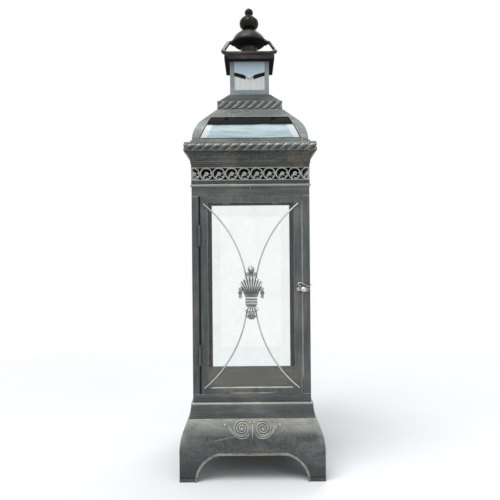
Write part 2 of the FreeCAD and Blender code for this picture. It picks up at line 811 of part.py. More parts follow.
def make_cupola():
    inside = "cupola_half - cupola_wall"
    window = [
        ("-window_half", "window_low"), ("window_half", "window_low"), ("window_half", "valance_side"),
        ("valance_knee_half", "valance_knee"), ("0", "valance_tip"),
        ("-valance_knee_half", "valance_knee"), ("-window_half", "valance_side"),
    ]
    ceiling = "cupola_top - cupola_wall"
    stud_hole = rod("stud_radius", "40", ("0", "0", "cupola_top - 20"))
    walls = cut(square_box("cupola_half", "hip_top", "cupola_top"), square_box(inside, "hip_top - 1", ceiling))
    node("cupola_walls", cut(walls, prism("XZ", REACH, window), prism("YZ", REACH, window), stud_hole))
    pane = box(("-(%s)" % inside, "-(%s)" % inside, "hip_top"),
               ("%s - glass_thick" % inside, "-(%s) + glass_thick" % inside, "cupola_top - 3 * cupola_wall"))
    node("cupola_panes", group(*[turned_copy(pane, angle) for angle in SIDES.values()]))
    eave = doc.addObject("Part::Fillet", "eave")
    eave.Base = square_box("eave_half", "cupola_top", "eave_top")
    doc.recompute()
    eave.Edges = [(i + 1, size("eave_round"), size("eave_round")) for i in range(len(eave.Base.Shape.Edges))]
    node("cupola_roof_plate", cut(eave, stud_hole))
    node("finial_stud", rod("stud_radius", "stud_top - stud_low", ("0", "0", "stud_low")))
    nut = doc.addObject("Part::Prism", "nut")
    nut.Polygon = 6
    bind(nut, Circumradius="nut_across / 1.732", Height="nut_tall", Placement__Base__z=ceiling + " - nut_tall")
    node("stud_nut", cut(nut, stud_hole))


def make_cap():
    cap = turned("cap_body", [
        ("stud_radius", "eave_top"), ("neck_radius + gauge", "eave_top"),
        ("neck_radius", "eave_top + neck_tall / 3"), ("neck_radius", "bowl_low"),
        ("cap_rim", "cap_rim_low", "bowl_radius", 1), ("cap_rim", "cap_rim_top", "rim_tall", 1),
        ("cap_top_radius", "cap_top", "cap_rim", 1), ("stud_radius", "cap_top"),
    ])
    solids, holes = [cap], []
    for sign in (-1, 1):
        at = ("%d * ear_inner" % sign, "0", "bail_pivot")
        solids.append(rod("ear_radius", "ear_outer - ear_inner", at, (sign, 0, 0)))
        at = ("%d * (bail_inner - fit_gap)" % sign, "0", "bail_pivot")
        holes.append(rod("bail_radius + pivot_gap", "cap_rim", at, (sign, 0, 0)))
    node("smoke_cap", cut(fuse(*solids), *holes))
    finial = turned("finial_body", [
        ("stud_radius", "cap_top"), ("cap_top_radius", "cap_top"), ("ball_end", "ball_low"),
        ("ball_end", "ball_top", "ball_round", 1),
        ("tip_radius * 0.8", "tip_middle - tip_radius * 0.6"),
        ("0", "tip_middle + tip_radius", "tip_radius", 1), ("0", "stud_top"), ("stud_radius", "stud_top"),
    ])
    node("finial", cut(finial, *[melon_groove(22.5 + 45 * i) for i in range(8)]))


def melon_groove(turn):
    """A groove down one meridian of the finial's ball, between two lobes."""
    groove = doc.addObject("Part::Torus", "groove")
    swing = Rotation(Vector(0, 0, 1), turn) * Rotation(Vector(1, 0, 0), 90) * Rotation(Vector(0, 0, 1), -62)
    groove.Placement = Placement(Vector(), swing)
    bind(groove, Radius1="ball_round + groove_radius / 2", Radius2="groove_radius")
    groove.Angle3 = 130
    return bind(groove, Placement__Base__x="ball_middle * cos(%s deg)" % turn,
                Placement__Base__y="ball_middle * sin(%s deg)" % turn,
                Placement__Base__z="ball_low + ball_half")


def bent_rod(corners, bends, radius):
    """A round rod along straight runs joined by arcs; bends gives the radius at each inner corner."""
    edges, here = [], corners[0]
    for i, bend in enumerate(bends, start=1):
        back = (corners[i - 1] - corners[i]).normalize()
        ahead = (corners[i + 1] - corners[i]).normalize()
        half = back.getAngle(ahead) / 2
        run = bend / math.tan(half)
        start, end = corners[i] + back * run, corners[i] + ahead * run
        middle = corners[i] + (back + ahead).normalize() * (bend / math.sin(half) - bend)
        edges += [Part.makeLine(here, start), Part.Arc(start, middle, end).toShape()]
        here = end
    edges.append(Part.makeLine(here, corners[-1]))
    way = corners[1] - corners[0]
    profile = Part.Wire([Part.makeCircle(radius, corners[0], way)])
    return Part.Wire(edges).makePipeShell([profile], True, True)


def bail_lean():
    """How far from straight down the bail hangs when it rests against the edge of the eave."""
    ahead, below = size("eave_half"), size("bail_pivot - eave_top")
    return math.atan2(ahead, below) + math.asin(size("bail_radius + fit_gap * 1.2") / math.hypot(ahead, below))


def make_bail():
    lean = bail_lean()
    down = Vector(0, -math.sin(lean), -math.cos(lean))
    pivot = Vector(0, 0, size("bail_pivot"))
    reach = down * size("bail_reach")
    side = [Vector(size("bail_inner"), 0, 0), Vector(size("bail_shoulder"), 0, 0),
            Vector(size("bail_half"), 0, 0) + reach]
    other = [Vector(-p.x, p.y, p.z) for p in reversed(side)]
    small, large = size("bail_knee"), size("bail_bend")
    bail = doc.addObject("Part::Feature", "bail")
    bail.Shape = bent_rod([pivot + p for p in side + other], [small, large, large, small], size("bail_radius"))
    node("bail", bail)


def make_door():
    face, back = "-body_half", "-body_half + door_thick"
    inner = "door_half - stile"
    frame = box(("-door_half", face, "door_low"), ("door_half", back, "door_top"))
    light = box(("-(%s)" % inner, "-200", "door_low + rail"), (inner, "0", "door_top - rail"))
    start = ("latch_across", "-body_half - door_thick", "latch_high")
    node("door_frame", cut(frame, light, rod("latch_shank", "3 * door_thick", start, (0, 1, 0))))
    glass_half, glass_back = inner + " + glass_lap", back + " + glass_thick"
    glass_low, glass_top = "door_low + rail - glass_lap", "door_top - rail + glass_lap"
    node("door_glass", box(("-(%s)" % glass_half, back, glass_low), (glass_half, glass_back, glass_top)))
    clips = []
    for up in ("door_low + hinge_in", "(door_low + door_top) / 2 + hinge_in", "door_top - hinge_in"):
        for sign in (-1, 1):
            edge, over = "%d * (%s)" % (sign, glass_half), "%d * (%s - tab_lap)" % (sign, glass_half)
            out = "%d * (door_half - gauge / 2)" % sign
            behind = glass_back + " + gauge / 2"
            clips.append(slab("XY", up + " - tab_tall / 2", up + " + tab_tall / 2", [
                (edge, back), (out, back), (out, behind),
                (over, behind), (over, glass_back), (edge, glass_back)]))
    node("door_glass_clips", group(*clips))
    for label, sign in (("door_wire_left", -1), ("door_wire_right", 1)):
        node(label, bowed_wire(sign))


def bowed_wire(sign):
    """A wire bent to an arc that leaves two corners of the door and meets its mate in the middle."""
    tall, deep = "((wire_end_top - wire_end_low) / 2)", "(wire_end_half - wire_mid_half)"
    radius = "((%s ^ 2 + %s ^ 2) / (2 * %s))" % (tall, deep, deep)
    wire = doc.addObject("Part::Torus", "wire")
    bind(wire, Radius1=radius, Radius2="wire_radius", Angle3="2 * asin(%s / %s)" % (tall, radius))
    spread = math.degrees(math.asin(size(tall) / size(radius)))
    start = -spread if sign < 0 else 180 - spread
    turn = Rotation(Vector(1, 0, 0), 90) * Rotation(Vector(0, 0, 1), start)
    wire.Placement = Placement(Vector(), turn)
    return bind(wire, Placement__Base__x="%d * (wire_mid_half + %s)" % (sign, radius),
                Placement__Base__y="-body_half - wire_radius + 0.05",
                Placement__Base__z="(wire_end_low + wire_end_top) / 2")


def make_hinge(name, low):
    """A butt hinge: two knuckles on the post, one between them on the door, and a pin."""
    axis_x, axis_y = "-hinge_across", "-body_half - hinge_radius"
    step = "hinge_tall / 3"
    first, last = "(%s + %s)" % (low, step), "(%s + 2 * %s)" % (low, step)
    leaf_face = "-body_half - leaf_thick"
    clear = "hinge_radius + fit_gap"

    def knuckle(bottom, top, bore, way):
        barrel = rod("hinge_radius", "(%s) - (%s)" % (top, bottom), (axis_x, axis_y, bottom))
        ends = sorted(("%s + %d * (%s)" % (axis_x, way, clear), axis_x), key=size)
        tab = box((ends[0], leaf_face, bottom), (ends[1], "-body_half", top))
        return cut(fuse(barrel, tab), rod(bore, "100", (axis_x, axis_y, "(%s) - 20" % bottom)))

    def leaf(way):
        ends = sorted(("%s + %d * (%s)" % (axis_x, way, clear),
                       "%s + %d * (%s + leaf_wide)" % (axis_x, way, clear)), key=size)
        return box((ends[0], leaf_face, low), (ends[1], "-body_half", "%s + hinge_tall" % low))

    node(name + "_post_leaf", fuse(leaf(-1), knuckle(low, first, "hinge_pin", -1),
                                   knuckle(last, "%s + hinge_tall" % low, "hinge_pin", -1)))
    node(name + "_door_leaf", fuse(leaf(1), knuckle("%s + fit_gap" % first, "%s - fit_gap" % last,
                                                    "hinge_pin + hinge_gap", 1)))
    return rod("hinge_pin", "hinge_tall + 2", (axis_x, axis_y, low + " - 1"))


def make_latch():
    back, front = "-body_half - latch_off", "-body_half - latch_off - latch_thick"
    low, high = "latch_high - latch_tall / 2", "latch_high + latch_tall / 2"

    def bore(radius, across, up):
        start = (across, front + " - latch_thick", up)
        return rod(radius, "4 * door_thick + 2 * latch_thick", start, (0, 1, 0))

    bar = slab("XZ", front, back, [
        ("latch_across", low), ("latch_tip", low), ("latch_tip + latch_tall / 4", "latch_high"),
        ("latch_tip - latch_tall / 4", high), ("latch_across", high),
    ])
    heel = rod("latch_head + fit_gap", "latch_thick", ("latch_across", back, "latch_high"), (0, -1, 0))
    notch = bore("keeper_radius + 1.5 * fit_gap", "keeper_across", low)
    pivot = bore("latch_shank + hinge_gap", "latch_across", "latch_high")
    node("latch_lever", cut(fuse(bar, heel), pivot, notch))
    stem = rod("knob_stem", "knob_radius", ("knob_across", front, "latch_high"), (0, -1, 0))
    grip = ball("knob_radius", ("knob_across", front + " - 1.5 * knob_radius", "latch_high"))
    node("latch_knob", fuse(stem, grip))
    half, tall = "latch_plate_wide / 2", "latch_plate_tall / 2"
    plate = box(("latch_across - " + half, back + " + fit_gap", "latch_high - " + tall),
                ("latch_across + " + half, "-body_half", "latch_high + " + tall))
    node("latch_plate", cut(plate, bore("latch_shank", "latch_across", "latch_high")))
    shank = rod("latch_shank", "door_thick + latch_off + latch_thick + fit_gap",
                ("latch_across", "-body_half + door_thick", "latch_high"), (0, -1, 0))
    head_at = ("latch_across", front + " - fit_gap", "latch_high")
    head = rod("latch_head", "leaf_thick * 1.5", head_at, (0, -1, 0))
    node("latch_rivet", fuse(shank, head))
    node("keeper_pin", rod("keeper_radius", "keeper_long", ("keeper_across", "-body_half", low), (0, -1, 0)))


def rib(angle, centre_z, start, end, spread, plane):
    """A tapered rib with a round end, part of a fan about a point on the ornament's axis."""
    lean = math.radians(angle)
    way = Vector(math.sin(lean), 0, math.cos(lean))
    cone = doc.addObject("Part::Cone", "rib")
    cone.Placement = Placement(Vector(), Rotation(Vector(0, 0, 1), way))
    bind(cone, Radius1="(%s) * %s" % (start, spread), Radius2="(%s) * %s" % (end, spread),
         Height="(%s) - (%s)" % (end, start))
    bind(cone, Placement__Base__x="(%s) * %.4f" % (start, way.x), Placement__Base__y=plane + " - shell_plate",
         Placement__Base__z="%s + (%s) * %.4f" % (centre_z, start, way.z))
    tip_at = ("(%s) * %.4f" % (end, way.x), plane + " - shell_plate",
              "%s + (%s) * %.4f" % (centre_z, end, way.z))
    return [cone, ball("(%s) * %s * 1.08" % (end, spread), tip_at)]


def make_shell():
    """The cast shell in the middle of the door: an upper and a lower fan, volutes and a waist."""
    plane = "-body_half - 2 * wire_radius + 0.1"
    face = plane + " - shell_plate"
    top, base = "waist_mid + fan_radius", "waist_mid - waist_step * 2"
    pieces = [
        slab("XZ", face, plane, [
            ("waist_half * 0.8", "waist_mid"), ("fan_radius * 0.5", "waist_mid + fan_radius * 0.78"),
            ("-fan_radius * 0.5", "waist_mid + fan_radius * 0.78", "fan_radius * 0.62", 1),
            ("-waist_half * 0.8", "waist_mid")]),
        slab("XZ", face, plane, [
            ("-waist_half * 0.8", base), ("-waist_half * 0.6", base + " - tail_long * 0.66"),
            ("waist_half * 0.6", base + " - tail_long * 0.66"), ("waist_half * 0.8", base)]),
        box(("-waist_half * 0.75", face, base), ("waist_half * 0.75", plane, "waist_mid + waist_step")),
        box(("-shell_ball * 0.6", face, "waist_mid"), ("shell_ball * 0.6", plane, top + " + shell_ball * 2.6")),
    ]
    for i in range(-4, 5):
        end = "fan_radius * %.3f" % (1 - 0.009 * i * i)
        pieces += rib(i * 7.6, "waist_mid", "fan_start", end, "0.064", plane)
    for i in range(-2, 3):
        end = "tail_long * %.3f" % (0.42 + 0.015 * i * i)
        pieces += rib(180 + i * 22, base + " + waist_step", "fan_start * 0.3", end, "0.185", plane)
        end = "tail_long * %.3f" % (0.9 - 0.02 * i * i)
        pieces += rib(180 + i * 8, base + " + waist_step", "fan_start", end, "0.066", plane)
    for sign in (-1, 1):
        for i, share in enumerate((0.85, 1.0, 0.9)):
            at = ("%d * volute_out * %.3f" % (sign, 0.94 + 0.06 * share), plane,
                  "waist_mid + fan_radius * 0.52 - volute_radius * 1.75 * %d" % i)
            tall = "shell_plate * %.2f" % (1.5 + 0.3 * share)
            pieces.append(rod("volute_radius * %.2f" % share, tall, at, (0, -1, 0)))
        ends = sorted(("%d * volute_out" % sign, "%d * waist_half * 0.4" % sign), key=size)
        pieces.append(box((ends[0], face, "waist_mid + fan_radius * 0.44"),
                          (ends[1], plane, "waist_mid + fan_radius * 0.56")))
        ear_at = ("%d * shell_ball * 0.95" % sign, face, top + " + shell_ball * 1.15")
        pieces.append(ball("shell_ball * 0.62", ear_at))
    for i in range(3):
        at = ("-waist_half", face, "waist_mid + waist_step * %d" % (1 - i))
        pieces.append(rod("waist_radius", "2 * waist_half", at, (1, 0, 0)))
    pieces.append(ball("shell_ball", ("0", plane + " - shell_ball * 0.2", top + " + shell_ball * 2.6")))
    front_half = box(("-60", "-2 * body_half", "0"), ("60", plane, "head_top"))
    node("shell_ornament", common(fuse(*pieces), front_half))


def write_pieces():
    doc.recompute()
    for obj in nodes:
        shape = obj.Shape
        bad = "Invalid" in obj.State or "Error" in obj.State
        if bad or shape.isNull() or not shape.isValid() or shape.Volume <= 0:
            raise ValueError("the piece %s did not build" % obj.Label)
    os.makedirs("parts", exist_ok=True)
    for obj in nodes:
        obj.Shape.exportStep("parts/%s.step" % obj.Label)
    print("%d pieces" % len(nodes))


make_base()
make_collar()
make_chamber()
make_frieze()
make_cornice()
make_roof()
make_cupola()
make_cap()
make_bail()
make_door()
hinge_pins = [make_hinge("lower_hinge", "hinge_low"), make_hinge("upper_hinge", "hinge_high")]
node("hinge_pins", group(*hinge_pins))
make_latch()
make_shell()
write_pieces()
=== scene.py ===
import math

import bmesh
import bpy
from mathutils import Matrix, Vector


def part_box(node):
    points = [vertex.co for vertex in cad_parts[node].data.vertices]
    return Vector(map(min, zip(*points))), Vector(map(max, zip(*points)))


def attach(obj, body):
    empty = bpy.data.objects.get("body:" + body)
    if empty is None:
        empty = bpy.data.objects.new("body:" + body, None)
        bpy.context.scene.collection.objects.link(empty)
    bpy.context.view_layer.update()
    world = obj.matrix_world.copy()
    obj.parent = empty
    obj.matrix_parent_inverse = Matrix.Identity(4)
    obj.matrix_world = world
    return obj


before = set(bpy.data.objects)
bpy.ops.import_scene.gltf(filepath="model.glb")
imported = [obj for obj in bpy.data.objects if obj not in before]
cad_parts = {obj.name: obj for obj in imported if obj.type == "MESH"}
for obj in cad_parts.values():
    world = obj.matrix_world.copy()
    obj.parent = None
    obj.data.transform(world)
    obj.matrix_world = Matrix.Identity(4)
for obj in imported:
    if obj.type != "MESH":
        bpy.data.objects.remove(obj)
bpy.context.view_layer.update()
scene = bpy.context.scene


# Materials. Every texture uses object coordinates, which are metres in the part's own frame.

class Shader:
    """A material with one Principled shader and short ways to add nodes to it."""

    def __init__(self, name):
        self.mat = bpy.data.materials.new(name)
        self.mat.use_nodes = True
        self.tree = self.mat.node_tree
        self.bsdf = self.tree.nodes["Principled BSDF"]
        self.coords = self.node("ShaderNodeTexCoord").outputs["Object"]

    def node(self, kind, **settings):
        made = self.tree.nodes.new(kind)
        for key, value in settings.items():
            setattr(made, key, value)
        return made

    def link(self, source, target):
        self.tree.links.new(source, target)

    def set(self, **values):
        for key, value in values.items():
            self.bsdf.inputs[key.replace("_", " ")].default_value = value
        return self

    def stretched(self, scale):
        mapping = self.node("ShaderNodeMapping")
        mapping.inputs["Scale"].default_value = scale
        self.link(self.coords, mapping.inputs["Vector"])
        return mapping.outputs["Vector"]

    def noise(self, scale, detail, rough, stretch=None):
        made = self.node("ShaderNodeTexNoise")
        made.inputs["Scale"].default_value = scale
        made.inputs["Detail"].default_value = detail
        made.inputs["Roughness"].default_value = rough
        self.link(self.stretched(stretch) if stretch else self.coords, made.inputs["Vector"])
        return made.outputs["Fac"]

    def ramp(self, fac, stops):
        """A colour ramp; a stop is a place and a colour, or a place and a grey level."""
        made = self.node("ShaderNodeValToRGB")
        elements = made.color_ramp.elements
        while len(elements) < len(stops):
            elements.new(0.5)
        for element, (place, colour) in zip(elements, stops):
            element.position = place
            grey = isinstance(colour, (int, float))
            element.color = (colour, colour, colour, 1) if grey else (*colour, 1)
        self.link(fac, made.inputs["Fac"])
        return made.outputs["Color"]

    def mix(self, fac, a, b):
        made = self.node("ShaderNodeMix", data_type="RGBA")
        for socket, value in ((made.inputs[0], fac), (made.inputs[6], a), (made.inputs[7], b)):
            if isinstance(value, bpy.types.NodeSocket):
                self.link(value, socket)
            elif isinstance(value, (int, float)):
                socket.default_value = value
            else:
                socket.default_value = (*value, 1)
        return made.outputs[2]

    def math(self, operation, a, b=None, clamp=False):
        made = self.node("ShaderNodeMath", operation=operation, use_clamp=clamp)
        for socket, value in zip(made.inputs, (a, b)):
            if isinstance(value, bpy.types.NodeSocket):
                self.link(value, socket)
            elif value is not None:
                socket.default_value = value
        return made.outputs[0]

    def product(self, first, *others):
        for factor in others:
            first = self.math("MULTIPLY", first, factor)
        return first

    def rise(self, value, level, slope):
        """Zero up to the level and then rising to one, by the slope for each metre."""
        return self.math("MULTIPLY", self.math("SUBTRACT", value, level), slope, True)

    def near(self, value, level, reach):
        """One at the level, falling to zero where the value is off it by the reach."""
        off = self.math("ABSOLUTE", self.math("SUBTRACT", value, level))
        return self.math("SUBTRACT", 1.0, self.math("DIVIDE", off, reach), True)

    def axis(self, letter):
        made = self.node("ShaderNodeSeparateXYZ")
        self.link(self.coords, made.inputs[0])
        return made.outputs[letter]

    def spans(self):
        """How far a point is from the lantern's axis along X and along Y."""
        return [self.math("ABSOLUTE", self.axis(letter)) for letter in "XY"]

    def outward(self):
        """How far a point is from the lantern's axis, square to the side that it is on."""
        return self.math("MAXIMUM", *self.spans())

    def lateral(self):
        """How far a point is from the middle of the side that it is on."""
        return self.math("MINIMUM", *self.spans())

    def edges(self, radius, low, high):
        """White along the solid's sharp edges, found by rounding the normal."""
        bevel = self.node("ShaderNodeBevel", samples=6)
        bevel.inputs["Radius"].default_value = radius
        flat = self.node("ShaderNodeNewGeometry")
        dot = self.node("ShaderNodeVectorMath", operation="DOT_PRODUCT")
        self.link(bevel.outputs["Normal"], dot.inputs[0])
        self.link(flat.outputs["Normal"], dot.inputs[1])
        return self.ramp(self.math("SUBTRACT", 1.0, dot.outputs["Value"]), [(low, 0.0), (high, 1.0)])

    def hollows(self, distance, low, high):
        """White in corners and recesses."""
        shade = self.node("ShaderNodeAmbientOcclusion", samples=8)
        shade.inputs["Distance"].default_value = distance
        return self.ramp(shade.outputs["AO"], [(low, 1.0), (high, 0.0)])

    def bump(self, height, strength, distance, soften=0.0):
        """Relief from a height, on a normal that is rounded at sharp edges by the soften radius."""
        made = self.node("ShaderNodeBump")
        made.inputs["Strength"].default_value = strength
        made.inputs["Distance"].default_value = distance
        self.link(height, made.inputs["Height"])
        if soften:
            rounded = self.node("ShaderNodeBevel", samples=4)
            rounded.inputs["Radius"].default_value = soften
            self.link(rounded.outputs["Normal"], made.inputs["Normal"])
        self.link(made.outputs["Normal"], self.bsdf.inputs["Normal"])

    def colour(self, socket):
        self.link(socket, self.bsdf.inputs["Base Color"])

    def roughness(self, fac, low, high, dull=None):
        """Roughness between low and high, and fully dull where the dull mask is white."""
        made = self.node("ShaderNodeMapRange")
        made.inputs["To Min"].default_value = low
        made.inputs["To Max"].default_value = high
        self.link(fac, made.inputs["Value"])
        rough = made.outputs["Result"]
        if dull:
            rough = self.math("MAXIMUM", rough, dull)
        self.link(rough, self.bsdf.inputs["Roughness"])


# Stretch of the streaks, and colours that several finishes share.
UPRIGHT = (9, 9, 0.7)
LEVEL = (0.8, 0.8, 9)
RUB_BROWN = (0.19, 0.125, 0.07)
PIT_BLACK = (0.014, 0.014, 0.013)
HOLLOW_BLACK = (0.012, 0.013, 0.013)
BARE_METAL = (0.58, 0.58, 0.53)
BARE_SILVER = (0.78, 0.78, 0.76)
SHADE_BLACK = (0.004, 0.004, 0.004)


def antique(name, dark, mid, light, wear, rust=0.35, metallic=0.5, stipple=0.0, hollow_dark=0.8, grain=LEVEL,
            mottle=0.0, rough=(0.36, 0.58), under=(), over=()):
    """Rubbed paint over sheet metal: cloudy patches, streaks, bare edges and brown rub marks.

    The marks in under are covered by the darkening in hollows and the wear, and those in over lie on top of
    them.
    """
    s = Shader(name)
    clouds = s.noise(14, 6, 0.62)
    streaks = s.noise(20, 5, 0.65, grain)
    specks = s.noise(420, 3, 0.7)
    base = s.ramp(s.mix(0.45, clouds, streaks), [(0.30, dark), (0.50, mid), (0.70, light)])
    base = s.mix(s.ramp(specks, [(0.56, 0.0), (0.74, 0.55)]), base, light)
    brown = s.ramp(s.noise(30, 6, 0.7), [(0.54, 0.0), (0.72, 1.0)])
    base = s.mix(s.product(brown, rust), base, RUB_BROWN)
    if mottle:
        fine = s.noise(260, 4, 0.75)
        base = s.mix(s.product(s.ramp(fine, [(0.36, 1.0), (0.50, 0.0)]), mottle), base, dark)
        base = s.mix(s.product(s.ramp(fine, [(0.52, 0.0), (0.68, 1.0)]), mottle), base, light)
    for mark in under:
        base = mark(s, base)
    height = s.mix(0.5, specks, s.noise(110, 5, 0.6))
    if stipple:
        cells = s.node("ShaderNodeTexVoronoi")
        cells.inputs["Scale"].default_value = 420
        s.link(s.coords, cells.inputs["Vector"])
        height = s.mix(stipple, height, cells.outputs["Distance"])
        pits = s.ramp(cells.outputs["Distance"], [(0.30, 0.0), (0.62, 0.7 * stipple)])
        base = s.mix(pits, base, PIT_BLACK)
    # Darker in corners and recesses, found by ambient occlusion.
    base = s.mix(s.product(s.hollows(0.006, 0.35, 0.9), hollow_dark), base, HOLLOW_BLACK)
    patchy = s.ramp(s.noise(90, 4, 0.7), [(0.32, 0.25), (0.62, 1.0)])
    base = s.mix(s.product(s.edges(0.0011, 0.03, 0.30), patchy, wear), base, BARE_METAL)
    for mark in over:
        base = mark(s, base)
    s.colour(base)
    s.roughness(clouds, *rough)
    s.bump(height, 0.35 + 0.5 * stipple, 0.0006, 0.0007)
    return s.set(Metallic=metallic).mat


# Where the marks lie, in metres: heights from the ground, other measures from the lantern's axis.

# A base skirt, whose face is upright to BOW_LOW and then an arc that leans in.
SKIRT_HALF = 0.1074
BOW_LOW = 0.0432
BOW_RADIUS = 0.090
SHOULDER_LOW = 0.065
CORNER_REACH = 0.014
PROUD_LEAST = 0.0003
ARCH_TOP = 0.0395
RUST_TOP = ARCH_TOP + 0.006
RUST_HALF = 0.052
HEM = 0.0068
HEM_LINE = 0.0014
HEM_EDGE = HEM - 0.001
SCRATCH_FROM, SCRATCH_TO = -0.064, -0.0155
SCRATCH_SLOPE, SCRATCH_LEVEL = 0.21, 0.0716
SCRATCH_WIDTH = 0.0009

# The door: the front lies below FRONT along Y, and the middle of the hinge gap is at GAP_MIDDLE along X.
FRONT = -0.0769
GAP_MIDDLE = -0.0769
GAP_SHADE = 0.0022
RAIL_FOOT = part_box("door_frame")[0][2]
RAIL_TOP = RAIL_FOOT + 0.009
RAIL_TOP_HALF, RAIL_TOP_LINE = 0.0639, 0.0016
RAIL_FOOT_HALF, RAIL_FOOT_LINE = 0.036, 0.0014

# The roof panes, which narrow upwards, and the cupola.
PANE_FOOT, PANE_FOOT_HALF, PANE_TAPER = 0.5075, 0.0753, 0.4667
PANE_CORNER = 0.010
FOOT_SHADOW_LINE = 0.5093
DARK_BAND_LINE, DARK_BAND_WAVE = 0.5305, 0.004
WINDOW_HALF = 0.0246
VALANCE_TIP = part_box("cupola_walls")[1][2] - 0.0282
WING_LOW, WING_SLOPE, WING_INNER = 0.6118, 0.31, 0.005

# Heights above the foot of the piece itself: the cupola's roof plate and the smoke cap.
PLATE_SHADE = 0.0016
CAP_NECK = 0.022
CAP_RIM = 0.032


def shoulder_highlight_and_rub(s, base):
    """A painted highlight on the upper part of a skirt, pale where the light falls on it, with brown rub marks
    where hands and cloths pass.
    """
    shoulder = s.rise(s.axis("Z"), SHOULDER_LOW, 70.0)
    smears = s.ramp(s.noise(38, 6, 0.68, (0.5, 0.5, 1.5)), [(0.32, 0.2), (0.60, 1.0)])
    brown = s.ramp(s.noise(26, 5, 0.65, (0.6, 0.6, 2)), [(0.50, 0.0), (0.64, 0.8)])
    pale = s.mix(brown, (0.285, 0.290, 0.262), (0.215, 0.175, 0.105))
    return s.mix(s.product(shoulder, smears), base, pale)


def pale_corners(s, base):
    """The upright corners of the base are paler at the height of the shoulder."""
    corner = s.near(s.outward(), s.lateral(), CORNER_REACH)
    height = s.rise(s.axis("Z"), BOW_LOW, 40.0)
    patchy = s.ramp(s.noise(45, 5, 0.7), [(0.35, 0.1), (0.62, 0.9)])
    return s.mix(s.product(corner, height, patchy), base, (0.30, 0.305, 0.285))


def shaded_feet(s, base):
    """Painted shade: darker towards the ground."""
    low = s.near(s.axis("Z"), 0.0, BOW_LOW)
    return s.mix(s.product(low, 0.75), base, (0.022, 0.024, 0.024))


def raised_lines(s, base):
    """Bare metal where a skirt's scroll or rolled rim stands proud of its plain bowed face."""
    up = s.math("MAXIMUM", s.math("SUBTRACT", s.axis("Z"), BOW_LOW), 0.0)
    bow = s.math("SQRT", s.math("SUBTRACT", BOW_RADIUS ** 2, s.math("MULTIPLY", up, up)))
    face = s.math("ADD", bow, SKIRT_HALF - BOW_RADIUS)
    bare = s.rise(s.math("SUBTRACT", s.outward(), face), PROUD_LEAST, 1400.0)
    patchy = s.ramp(s.noise(70, 4, 0.7), [(0.30, 0.15), (0.62, 0.75)])
    scroll = s.rise(s.axis("Z"), BOW_LOW, 60.0)
    strength = s.math("ADD", s.product(scroll, 0.25), 0.75)
    return s.mix(s.product(bare, patchy, strength), base, (0.50, 0.50, 0.46))


def long_scratch(s, base):
    """One pale scratch that rises towards the scroll, on the front skirt only."""
    x = s.axis("X")
    line = s.math("ADD", s.math("MULTIPLY", x, SCRATCH_SLOPE), SCRATCH_LEVEL)
    scratch = s.near(s.axis("Z"), line, SCRATCH_WIDTH)
    ends = s.product(s.rise(x, SCRATCH_FROM, 80.0), s.rise(SCRATCH_TO, x, 200.0))
    front = s.math("LESS_THAN", s.axis("Y"), 0.0)
    return s.mix(s.product(scratch, ends, front, 0.6), base, (0.33, 0.34, 0.32))


def rusty_arch(s, base):
    """Brown above the middle of the arch, where the paint of its rim is worn through."""
    above = s.rise(s.axis("Z"), ARCH_TOP, 900.0)
    below = s.rise(RUST_TOP, s.axis("Z"), 400.0)
    middle = s.rise(RUST_HALF, s.lateral(), 40.0)
    patchy = s.ramp(s.noise(90, 6, 0.75, (0.6, 0.6, 2)), [(0.38, 0.0), (0.62, 0.9)])
    return s.mix(s.product(above, below, middle, patchy), base, (0.130, 0.082, 0.045))


def foot_hem(s, base):
    """The folded hem under each foot: a dark line with a rubbed edge below it."""
    line = s.near(s.axis("Z"), HEM, HEM_LINE)
    edge = s.rise(HEM_EDGE, s.axis("Z"), 900.0)
    patchy = s.ramp(s.noise(60, 4, 0.7), [(0.38, 0.0), (0.66, 0.6)])
    base = s.mix(s.product(edge, patchy), base, (0.13, 0.12, 0.10))
    return s.mix(s.product(line, 0.85), base, (0.008, 0.008, 0.008))


def hinge_gap(s, base):
    """Painted shade along the gap between the door and its hinge post."""
    gap = s.math("MULTIPLY", s.near(s.axis("X"), GAP_MIDDLE, GAP_SHADE), 3.0, True)
    front = s.math("LESS_THAN", s.axis("Y"), FRONT)
    return s.mix(s.product(gap, front, 0.92), base, (0.010, 0.011, 0.011))


def rubbed_rail(s, base):
    """Bare metal along the inner edge of the door's lower rail, and a shorter stretch at its foot."""
    across = s.math("ABSOLUTE", s.axis("X"))
    inner = s.product(s.near(s.axis("Z"), RAIL_TOP, RAIL_TOP_LINE), s.rise(RAIL_TOP_HALF, across, 150.0))
    foot = s.product(s.near(s.axis("Z"), RAIL_FOOT, RAIL_FOOT_LINE), s.rise(RAIL_FOOT_HALF, across, 80.0))
    lines = s.math("MULTIPLY", s.math("MAXIMUM", inner, foot), 1.6, True)
    front = s.math("LESS_THAN", s.axis("Y"), FRONT)
    patchy = s.ramp(s.noise(50, 4, 0.7), [(0.32, 0.35), (0.60, 1.0)])
    return s.mix(s.product(lines, front, patchy), base, (0.56, 0.57, 0.53))


def pale_crest(s, base):
    """A painted highlight along the upper edge of the cornice's rope, where the light catches it."""
    low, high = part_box("cornice_rope")
    share = s.math("DIVIDE", s.math("SUBTRACT", s.axis("Z"), low[2]), high[2] - low[2])
    patchy = s.ramp(s.noise(60, 4, 0.7), [(0.30, 0.35), (0.60, 1.0)])
    crest = s.ramp(share, [(0.62, 0.0), (0.88, 0.85)])
    return s.mix(s.product(crest, patchy), base, (0.46, 0.48, 0.46))


def valance_sky_reflection(s, base):
    """Painted sky reflection: the hanging valances of the cupola are painted paler and bluer than its posts.
    """
    inner = s.rise(WINDOW_HALF, s.lateral(), 2000.0)
    upper = s.rise(s.axis("Z"), VALANCE_TIP, 2000.0)
    return s.mix(s.product(inner, upper), base, (0.42, 0.51, 0.57))


